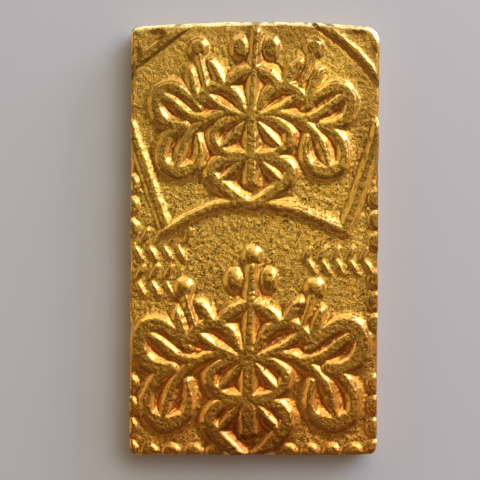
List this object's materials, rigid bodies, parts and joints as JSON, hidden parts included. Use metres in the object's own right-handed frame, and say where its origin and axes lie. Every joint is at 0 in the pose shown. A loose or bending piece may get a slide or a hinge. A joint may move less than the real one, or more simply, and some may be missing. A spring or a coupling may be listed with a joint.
{
  "type": "gold coin",
  "caption": "Small oblong struck gold coin with leaf-and-flower crests, a fan-shaped frame and a beaded border on its face, and a rimmed back.",
  "frame": {"origin": "middle of the underside of the box round the coin, which lies flat", "axes": "+Z out of the struck face, +Y from the coin's foot to its top edge, +X to the right of the face"},
  "size_m": [0.0098, 0.017, 0.0016],
  "materials": {
    "gold": "worn struck gold, grainy field and darker hollows"
  },
  "bodies": {
    "root": {"coin": "gold"}
  },
  "joints": []
}
